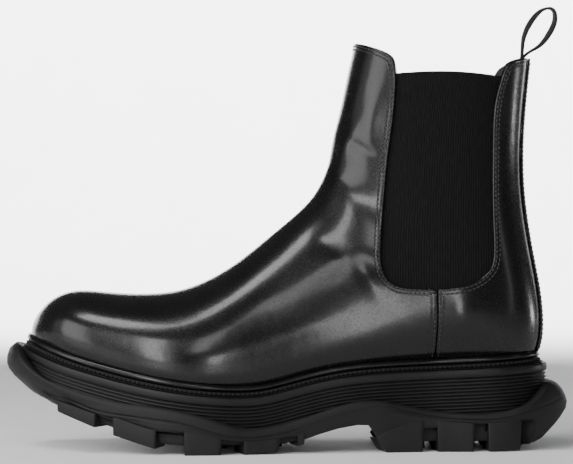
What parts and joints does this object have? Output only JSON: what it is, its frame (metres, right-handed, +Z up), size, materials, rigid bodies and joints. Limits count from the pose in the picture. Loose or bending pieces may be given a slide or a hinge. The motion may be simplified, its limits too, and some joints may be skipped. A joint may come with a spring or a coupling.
{
  "type": "chelsea boot",
  "caption": "Ankle-high slip-on boot with a polished leather upper, elastic side panels, a rear ribbon pull loop, a ribbed midsole and a chunky lugged outsole.",
  "frame": {"origin": "on the ground, under the middle of the outsole's length and width", "axes": "+X from toe to heel, +Y to the inner side of this left boot, +Z up"},
  "size_m": [0.32, 0.1182, 0.2507],
  "materials": {
    "polished_leather": "gloss",
    "elastic_webbing": "matte",
    "ribbon": "satin",
    "lining_leather": "satin",
    "stiffener": "matte",
    "interlining": "matte",
    "fibreboard": "matte",
    "cork": "matte",
    "foam": "matte",
    "shank_steel": "brushed",
    "sole_rubber": "satin",
    "tread_rubber": "matte"
  },
  "bodies": {
    "root": {"vamp": "polished_leather", "quarter_outer": "polished_leather", "quarter_inner": "polished_leather", "back_strap": "polished_leather", "gore_outer": "elastic_webbing", "gore_inner": "elastic_webbing", "toe_puff": "stiffener", "heel_counter": "stiffener", "vamp_interlining": "interlining", "vamp_lining": "lining_leather", "quarter_lining": "lining_leather", "insole_board": "fibreboard", "heel_pad": "foam", "footbed": "lining_leather", "shank": "shank_steel", "bottom_filler": "cork", "rand": "sole_rubber", "welt": "sole_rubber", "midsole": "sole_rubber", "outsole": "tread_rubber", "pull_loop_tail": "ribbon"},
    "loop": {"pull_loop": "ribbon"}
  },
  "joints": [
    {"name": "loop_hinge", "type": "hinge", "parent": "root", "child": "loop", "pos_m": [0.1342, 0.0027, 0.2235], "axis": [0, 1, 0], "range_deg": [-85, 28], "stiffness_Nm_per_rad": 0.002}
  ]
}
